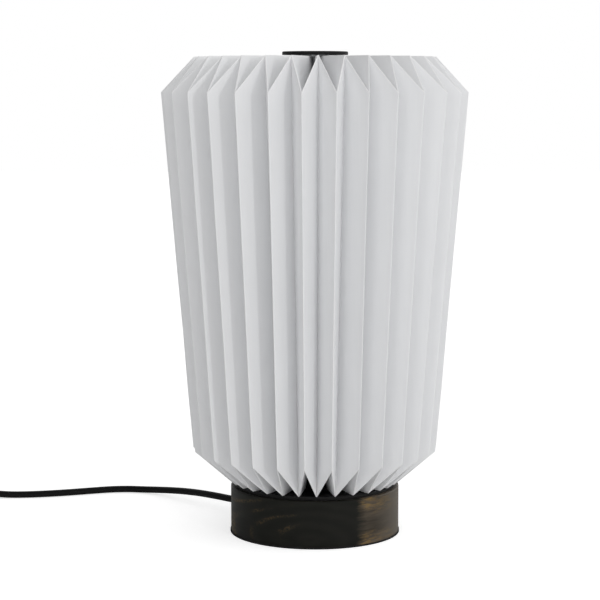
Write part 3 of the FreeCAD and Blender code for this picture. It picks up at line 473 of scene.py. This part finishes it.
def round_creases(strip):
    """Bevels every crease, and marks the faces that this makes where they are small."""
    start_edit(strip, "EDGE")
    bpy.ops.mesh.edges_select_sharp(sharpness=crease_angle)
    bpy.ops.mesh.bevel(offset=crease_width, offset_type="OFFSET", segments=crease_steps, profile=0.5)
    bpy.ops.mesh.select_mode(type="FACE")
    end_edit()
    smallest = (panel_width / (panel_cuts + 1)) ** 2 / 4     # nearly every face of a panel is larger
    mark = strip.data.attributes.new("crease", "FLOAT", "FACE")
    for face, value in zip(strip.data.polygons, mark.data):
        value.value = 1.0 if face.area < smallest else 0.0
    print("marked:", int(sum(value.value for value in mark.data)), "of", len(mark.data), "faces")


# degrees that folds are out of place, counted from the front one to the right; unlisted ones are random
shoulder_drift = {-4: 0.7, -3: -0.5, -2: -0.25, -1: 0.35, 0: 0.25, 1: 0.4, 2: -0.1, 3: -0.75, 4: -1.1}
skirt_drift = {-4: 0.1, -3: 0.0, -2: 0.0, -1: 0.0, 0: 0.4, 1: 0.5, 2: 0.95, 3: 0.65, 4: 0.3}
tip_drift = {-5: 0.3, -4: 0.0, -3: 0.8, -2: 0.8, -1: 0.1, 0: 0.1, 1: 0.75, 2: 1.8, 3: 2.0, 4: 1.8, 5: -0.3}
unseen_drift = 0.5               # the most for an unlisted fold
fold_seed = 30
panel_wave = 0.35 * MM
wave_scale = 22                  # waves in a metre, about
free_radius = 1.3 * mouth_radius  # nearer the axis the clamp holds the folds more and more


def drift_table(seen):
    """One value for each fold, in order round the ring."""
    return [seen.get(fold if fold < pleats / 2 else fold - pleats,
                     random.uniform(-unseen_drift, unseen_drift))
            for fold in range(pleats)]


def table_value(table, fold):
    """Value between the two folds on either side."""
    low = math.floor(fold)
    share = fold - low
    return table[low % pleats] * (1 - share) + table[(low + 1) % pleats] * share


def fold_unevenly(strip):
    """Turns each fold about the axis by its drift, and waves the panels."""
    random.seed(fold_seed)
    shoulder, skirt, tip = (drift_table(seen) for seen in (shoulder_drift, skirt_drift, tip_drift))
    for vertex in strip.data.vertices:
        x, y, z = vertex.co
        radius = math.hypot(x, y)
        angle = math.atan2(y, x)
        fold = (angle - pleat_turn + math.pi / 2) / pitch
        upper, lower = table_value(shoulder, fold), table_value(skirt, fold)
        rise = min(max((z - skirt_height) / (shoulder_height - skirt_height), 0), 1)
        drop = min(max((skirt_height - z) / (skirt_height - foot_height), 0), 1)
        turn = lower + (upper - lower) * rise + (table_value(tip, fold - 0.5) - lower) * drop
        held = ease((radius - eye_radius) / (free_radius - eye_radius))
        angle += math.radians(turn) * held
        radius += noise.noise(vertex.co * wave_scale) * panel_wave * held
        vertex.co = Vector((radius * math.cos(angle), radius * math.sin(angle), z))


def blunt_tips(strip):
    """Rounds the points at the foot: thick paper can't be folded to a needle there."""
    tip_radius = bends[1][1][0]
    start_edit(strip, "VERT")
    end_edit()
    for vertex in strip.data.vertices:
        place = vertex.co
        radius = math.hypot(place.x, place.y)
        near = abs(radius - tip_radius) < tip_bluntness
        vertex.select = near and place.z < foot_height + tip_bluntness
    print("tip corners:", sum(vertex.select for vertex in strip.data.vertices))
    bpy.ops.object.mode_set(mode="EDIT")
    bpy.ops.mesh.vertices_smooth(factor=0.5, repeat=tip_smoothings)
    end_edit()


repeat_pleat(shade)
round_creases(shade)
blunt_tips(shade)
fold_unevenly(shade)
print("ring:", len(shade.data.polygons), "faces")


# %% Give the paper its thickness
paper_thickness = 0.35 * MM


def outward_faces(obj):
    """Turns all faces of the open ring outwards."""
    start_edit(obj)
    bpy.ops.mesh.select_all(action="SELECT")
    bpy.ops.mesh.normals_make_consistent(inside=False)
    end_edit()
    top = max(obj.data.polygons, key=lambda face: face.center.z)
    if top.normal.z < 0:
        start_edit(obj)
        bpy.ops.mesh.select_all(action="SELECT")
        bpy.ops.mesh.flip_normals()
        end_edit()


outward_faces(shade)
apply_modifier(shade, "SOLIDIFY", thickness=paper_thickness, offset=0)
deselect()
shade.select_set(True)
bpy.context.view_layer.objects.active = shade
bpy.ops.object.shade_smooth()
apply_modifier(shade, "WEIGHTED_NORMAL", keep_sharp=True)
print("shade:", len(shade.data.polygons), "faces")


# %% [markdown]
# ## Finishes
# Each finish is a small set of nodes on one Principled shader: a colour that varies a little, a roughness
# that varies with it, and a fine bump. The patterns read Object coordinates, which are metres here, so a
# noise scale of 500 has grains of about two millimetres.

# %% Helpers for finishes
def new_finish(name, **values):
    """A material with these values on its Principled shader. Returns it, its nodes and the shader."""
    material = bpy.data.materials.new(name)
    material.use_nodes = True
    tree = material.node_tree
    shader = tree.nodes["Principled BSDF"]
    for socket, value in values.items():
        shader.inputs[socket.replace("_", " ")].default_value = value
    return material, tree, shader


def grain(tree, scale, stretch=(1, 1, 1), detail=3, roughness=0.55):
    """Noise in the piece's own coordinates, drawn out along one or two axes by a small stretch value."""
    place = add_node(tree, "TexCoord")
    mapping = add_node(tree, "Mapping")
    mapping.inputs["Scale"].default_value = stretch
    pattern = add_node(tree, "TexNoise", Scale=scale, Detail=detail, Roughness=roughness)
    link(tree, place.outputs["Object"], mapping.inputs["Vector"])
    link(tree, mapping.outputs[0], pattern.inputs["Vector"])
    return pattern.outputs[0]


def spread(tree, value, low, high, start=0.3, end=0.7):
    """Brings a noise value to the range low to high."""
    node = add_node(tree, "MapRange", From_Min=start, From_Max=end, To_Min=low, To_Max=high)
    link(tree, value, node.inputs["Value"])
    return node.outputs[0]


def colour_between(tree, value, first, second):
    """A colour from first to second as the value goes from 0 to 1."""
    node = tree.nodes.new("ShaderNodeMix")
    node.data_type = "RGBA"
    node.inputs[6].default_value = (*first, 1)
    node.inputs[7].default_value = (*second, 1)
    link(tree, value, node.inputs[0])
    return node.outputs[2]


def bump(tree, shader, height, depth):
    """Raises the surface by up to depth metres where the value is 1."""
    node = add_node(tree, "Bump", Strength=1.0, Distance=depth)
    link(tree, height, node.inputs["Height"])
    link(tree, node.outputs[0], shader.inputs["Normal"])


def plain_finish(name, dark, light, rough, scale=400, depth=0.00002, stretch=(1, 1, 1), **values):
    """A finish whose colour and roughness both wander a little with one noise."""
    material, tree, shader = new_finish(name, **values)
    speckle = grain(tree, scale, stretch)
    share = spread(tree, speckle, 0, 1)
    link(tree, colour_between(tree, share, dark, light), shader.inputs["Base Color"])
    link(tree, spread(tree, speckle, rough[0], rough[1]), shader.inputs["Roughness"])
    bump(tree, shader, speckle, depth)
    return material


# %% [markdown]
# The paper is matt and very slightly bluish. Its fibres run up the strip, so one noise is drawn out along
# Z. A finer one gives the tooth of the surface. The marked creases are painted paler: a painted highlight
# along each fold.

# %% Paper
paper_dull, paper_bright = (0.91, 0.915, 0.925), (0.935, 0.94, 0.95)
# painted highlight: the colour of the crease faces, paler than the paper
crease_highlight_white = (0.95, 0.95, 0.955, 1)
paper_tooth = 0.012 * MM


def paper_finish():
    """Matt white with faint streaks along the strip, and a painted highlight: a paler tone where a crease
    is marked.
    """
    material, tree, shader = new_finish("white_paper", Roughness=0.85, Specular_IOR_Level=0.3)
    streaks = grain(tree, 420, stretch=(1, 1, 0.03), detail=4)
    cloud = grain(tree, 30, detail=2)
    tone = math_node(tree, "ADD", spread(tree, streaks, 0, 0.6), spread(tree, cloud, 0, 0.4))
    paper = colour_between(tree, tone, paper_dull, paper_bright)
    # the marked crease faces are painted paler, a painted highlight along each fold
    mark = tree.nodes.new("ShaderNodeAttribute")
    mark.attribute_name = "crease"
    crease_highlight = tree.nodes.new("ShaderNodeMix")
    crease_highlight.data_type = "RGBA"
    crease_highlight.inputs[7].default_value = crease_highlight_white
    link(tree, mark.outputs["Fac"], crease_highlight.inputs[0])
    link(tree, paper, crease_highlight.inputs[6])
    link(tree, crease_highlight.outputs[2], shader.inputs["Base Color"])
    tooth = grain(tree, 1400, detail=2)
    bump(tree, shader, math_node(tree, "ADD", tooth, streaks), paper_tooth)
    return material


# %% [markdown]
# The base is turned from one block whose grain runs from front to back, stained nearly black and varnished
# satin. So the front shows the ends of the growth rings, as low arches round a point near the table, and
# the sides show the same rings as level lines. One ring texture round the Y axis gives both. The stain took
# unevenly: on the right the brown of the wood shows in level strokes, most of all near the top and bottom
# edges, and at the front left a few arches are flecked with ochre. The brown on the right is also painted
# lighter, as painted light from that side, and at the right edge a paler brown is a painted sheen. Strokes
# and pores come from noises that are drawn out along Y.

# %% Stained wood
heart = Vector((-2, 0, 7)) * MM           # where the rings have their middle
ring_flatness = 0.42                      # height of a ring against its width
along_grain = 0.15                        # how little the rings change from front to back
fleck_from, fleck_to = -24 * MM, -6 * MM  # the ochre flecks fade out from left to right
worn_lit_from, worn_lit_to = 31 * MM, 38 * MM     # the stain is thin to the right of this, and the wood there is painted lighter for the light from the right
edge_wander = 12 * MM                     # how far the strokes shift that edge
dim_from, dim_to = 40 * MM, 58 * MM       # bright strokes grow dimmer towards the right
sheen_from, sheen_to = 44 * MM, 60 * MM     # painted sheen: the right side is painted an even, paler brown
base_middle = 17 * MM                     # half of the wood's height
band_from, band_to = 5 * MM, 11 * MM      # from the middle to the bands along both edges
stain_dark, stain_light = (0.0062, 0.0064, 0.0040), (0.0092, 0.0092, 0.0062)
# the brown of the right side: partly the wood's own colour, partly painted light from the right
brown_dark, brown_light = (0.048, 0.037, 0.025), (0.128, 0.100, 0.071)
# painted sheen: the paler brown of the right edge, where light grazes the varnish
sheen_dark, sheen_light = (0.080, 0.067, 0.050), (0.140, 0.120, 0.094)
ochre_dark, ochre_light = (0.21, 0.125, 0.030), (0.28, 0.18, 0.06)
pore_depth = 0.03 * MM


def growth_rings(tree):
    """Low, wide rings, 7 mm apart in height, round a line that runs from front to back."""
    place = add_node(tree, "TexCoord")
    mapping = add_node(tree, "Mapping")
    mapping.inputs["Location"].default_value = (-heart.x * ring_flatness, 0, -heart.z)
    mapping.inputs["Scale"].default_value = (ring_flatness, along_grain, 1)
    rings = tree.nodes.new("ShaderNodeTexWave")
    rings.wave_type = "RINGS"
    rings.rings_direction = "Y"
    for name, value in (("Scale", 44), ("Distortion", 4.5), ("Detail", 4), ("Detail Scale", 1.1)):
        rings.inputs[name].default_value = value
    link(tree, place.outputs["Object"], mapping.inputs["Vector"])
    link(tree, mapping.outputs[0], rings.inputs["Vector"])
    return rings.outputs["Fac"]


def product(tree, first, *others):
    """All these values multiplied."""
    for other in others:
        first = math_node(tree, "MULTIPLY", first, other)
    return first


def mix_colours(tree, share, first, second):
    """From one colour socket to another."""
    node = tree.nodes.new("ShaderNodeMix")
    node.data_type = "RGBA"
    for socket, value in zip((node.inputs[0], node.inputs[6], node.inputs[7]), (share, first, second)):
        link(tree, value, socket)
    return node.outputs[2]


def wood_finish():
    """Dark stain with ochre flecks on the arches at the front left, brown strokes on the right that are
    partly painted light from the right, and a painted sheen at the right edge.
    """
    material, tree, shader = new_finish("stained_wood", Coat_Weight=0.04, Coat_Roughness=0.35,
                                        Specular_IOR_Level=0.2)
    rings = growth_rings(tree)
    pores = grain(tree, 700, stretch=(1, 0.035, 1), detail=3, roughness=0.6)
    strokes = grain(tree, 260, stretch=(0.12, 0.07, 1), detail=4, roughness=0.65)
    slow = grain(tree, 38, stretch=(1, 0.5, 1), detail=2)
    axes = add_node(tree, "SeparateXYZ")
    link(tree, add_node(tree, "TexCoord").outputs["Object"], axes.inputs[0])
    edge = math_node(tree, "ADD", axes.outputs["X"], math_node(tree, "MULTIPLY", strokes, edge_wander))
    # the right side: partly thin stain, partly painted light from the right
    worn_and_lit = spread(tree, edge, 0, 1, start=worn_lit_from + edge_wander / 2, end=worn_lit_to + edge_wander / 2)
    front_left = spread(tree, axes.outputs["X"], 1, 0, start=fleck_from, end=fleck_to)
    stain = colour_between(tree, spread(tree, rings, 0, 1, start=0.0, end=1.0), stain_dark, stain_light)
    above_middle = math_node(tree, "SUBTRACT", axes.outputs["Z"], base_middle)
    from_middle = math_node(tree, "ABSOLUTE", above_middle, 0)
    near_edges = spread(tree, from_middle, 0, 1, start=band_from, end=band_to)
    sheen_right = spread(tree, axes.outputs["X"], 0, 1, start=sheen_from, end=sheen_to)
    stroke_share = spread(tree, strokes, 0, 1, start=0.35, end=0.65)
    brown = colour_between(tree, stroke_share, brown_dark, brown_light)
    # painted sheen at the right edge
    pale = colour_between(tree, strokes, sheen_dark, sheen_light)
    brown = mix_colours(tree, sheen_right, brown, pale)
    cover = mix_values(tree, math_node(tree, "MAXIMUM", near_edges, sheen_right), 0.6, 0.95)
    body = mix_colours(tree, product(tree, worn_and_lit, cover), stain, brown)
    crests = spread(tree, rings, 0, 1, start=0.72, end=0.98)
    patches = spread(tree, slow, 0, 1, start=0.46, end=0.62)
    open_pores = spread(tree, pores, 0, 1, start=0.4, end=0.65)
    flecks = product(tree, crests, patches, open_pores, front_left, 0.36)
    short_strokes = grain(tree, 600, stretch=(0.2, 0.15, 1), detail=3, roughness=0.7)
    stroke_tips = spread(tree, short_strokes, 0, 1, start=0.46, end=0.66)
    dimming = spread(tree, axes.outputs["X"], 0.75, 0.2, start=dim_from, end=dim_to)
    bright_strokes = product(tree, worn_and_lit, near_edges, stroke_tips, dimming)
    ochre = colour_between(tree, pores, ochre_dark, ochre_light)
    final = mix_colours(tree, math_node(tree, "MAXIMUM", flecks, bright_strokes), body, ochre)
    link(tree, final, shader.inputs["Base Color"])
    link(tree, spread(tree, strokes, 0.42, 0.56), shader.inputs["Roughness"])
    bump(tree, shader, pores, pore_depth)
    return material


# %% [markdown]
# The other finishes share one recipe: two close colours, a range of roughness and the size of the grain.

# %% The other finishes
near_black = (0.008, 0.008, 0.008)
soft_black = (0.016, 0.016, 0.016)
finishes = {
    "shade_paper": paper_finish(),
    "stained_wood": wood_finish(),
    "black_lacquer": plain_finish("black_lacquer", near_black, soft_black, (0.52, 0.64), scale=900,
                                  Specular_IOR_Level=0.2),
    "black_felt": plain_finish("black_felt", (0.006, 0.006, 0.006), (0.02, 0.02, 0.02), (0.9, 1.0),
                               scale=1500, depth=0.0002),
    "black_rubber": plain_finish("black_rubber", near_black, soft_black, (0.5, 0.65), scale=1200),
    "cord_jacket": plain_finish("cord_jacket", (0.004, 0.004, 0.004), (0.008, 0.008, 0.008), (0.5, 0.65),
                                scale=700, Specular_IOR_Level=0.2),
    "black_bakelite": plain_finish("black_bakelite", near_black, soft_black, (0.2, 0.3), scale=300),
    "switch_black": plain_finish("switch_black", near_black, soft_black, (0.45, 0.6), scale=2200,
                                 depth=0.00006),
    "rocker_black": plain_finish("rocker_black", near_black, soft_black, (0.25, 0.35), scale=900),
    "tie_black": plain_finish("tie_black", near_black, soft_black, (0.4, 0.5), scale=1500),
    "plug_black": plain_finish("plug_black", near_black, soft_black, (0.42, 0.55), scale=1800,
                               depth=0.00005),
    "black_glass": plain_finish("black_glass", near_black, soft_black, (0.08, 0.15)),
    "zinc_steel": plain_finish("zinc_steel", (0.42, 0.43, 0.44), (0.58, 0.59, 0.6), (0.28, 0.45),
                               scale=250, Metallic=1.0),
    "screw_steel": plain_finish("screw_steel", (0.4, 0.4, 0.42), (0.55, 0.55, 0.56), (0.25, 0.4),
                                scale=800, Metallic=1.0),
    "bulb_nickel": plain_finish("bulb_nickel", (0.55, 0.54, 0.52), (0.68, 0.67, 0.65), (0.18, 0.3),
                                scale=500, Metallic=1.0),
    "pin_nickel": plain_finish("pin_nickel", (0.6, 0.59, 0.57), (0.7, 0.69, 0.67), (0.16, 0.26),
                               scale=500, Metallic=1.0),
    "holder_brass": plain_finish("holder_brass", (0.52, 0.36, 0.13), (0.66, 0.48, 0.2), (0.25, 0.42),
                                 scale=350, Metallic=1.0),
    "solder_tin": plain_finish("solder_tin", (0.5, 0.5, 0.5), (0.62, 0.62, 0.61), (0.3, 0.45),
                               scale=600, Metallic=1.0),
    "white_ceramic": plain_finish("white_ceramic", (0.72, 0.71, 0.68), (0.8, 0.79, 0.76), (0.45, 0.6)),
    "white_plastic": plain_finish("white_plastic", (0.76, 0.76, 0.75), (0.8, 0.8, 0.79), (0.35, 0.45),
                                  scale=1500),
    "board_white": plain_finish("board_white", (0.66, 0.67, 0.66), (0.74, 0.75, 0.74), (0.5, 0.6)),
    "opal_glass": plain_finish("opal_glass", (0.82, 0.82, 0.8), (0.86, 0.86, 0.84), (0.25, 0.32),
                               scale=60, depth=0.00001),
    "grey_plastic": plain_finish("grey_plastic", (0.24, 0.24, 0.24), (0.32, 0.32, 0.32), (0.4, 0.55)),
    "brown_lead": plain_finish("brown_lead", (0.09, 0.035, 0.015), (0.13, 0.055, 0.027), (0.35, 0.5)),
    "blue_lead": plain_finish("blue_lead", (0.02, 0.06, 0.3), (0.035, 0.09, 0.38), (0.35, 0.5)),
}
print(len(finishes), "finishes")

# %% Give every node its finish
slot_of = {part["node"]: part["material_slot"] for part in frame["record"]["subparts"]}
for node, obj in frame["nodes"].items():
    for slot in obj.material_slots:
        slot.material = finishes[slot_of[node]]
print("finished", len(slot_of), "nodes")


# %% [markdown]
# ## Putting the new pieces in the frame
# Each new piece rides on the body that carries it and takes its finish from the slot of the nodes of the
# frame that it stands for, and these nodes are hidden. The two stretches of cord ride on the base.

# %% The shade rides on its body
shade.data.materials.append(finishes["shade_paper"])
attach(shade, "shade")
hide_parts("pleated_shade")

# %% The cords
for cord in (lamp_cord, plug_cord):
    cord.data.materials.append(finishes["cord_jacket"])
    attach(cord, "base")
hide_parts("cord_to_switch")
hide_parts("cord_to_coil", "cord_coil", "cord_to_plug")
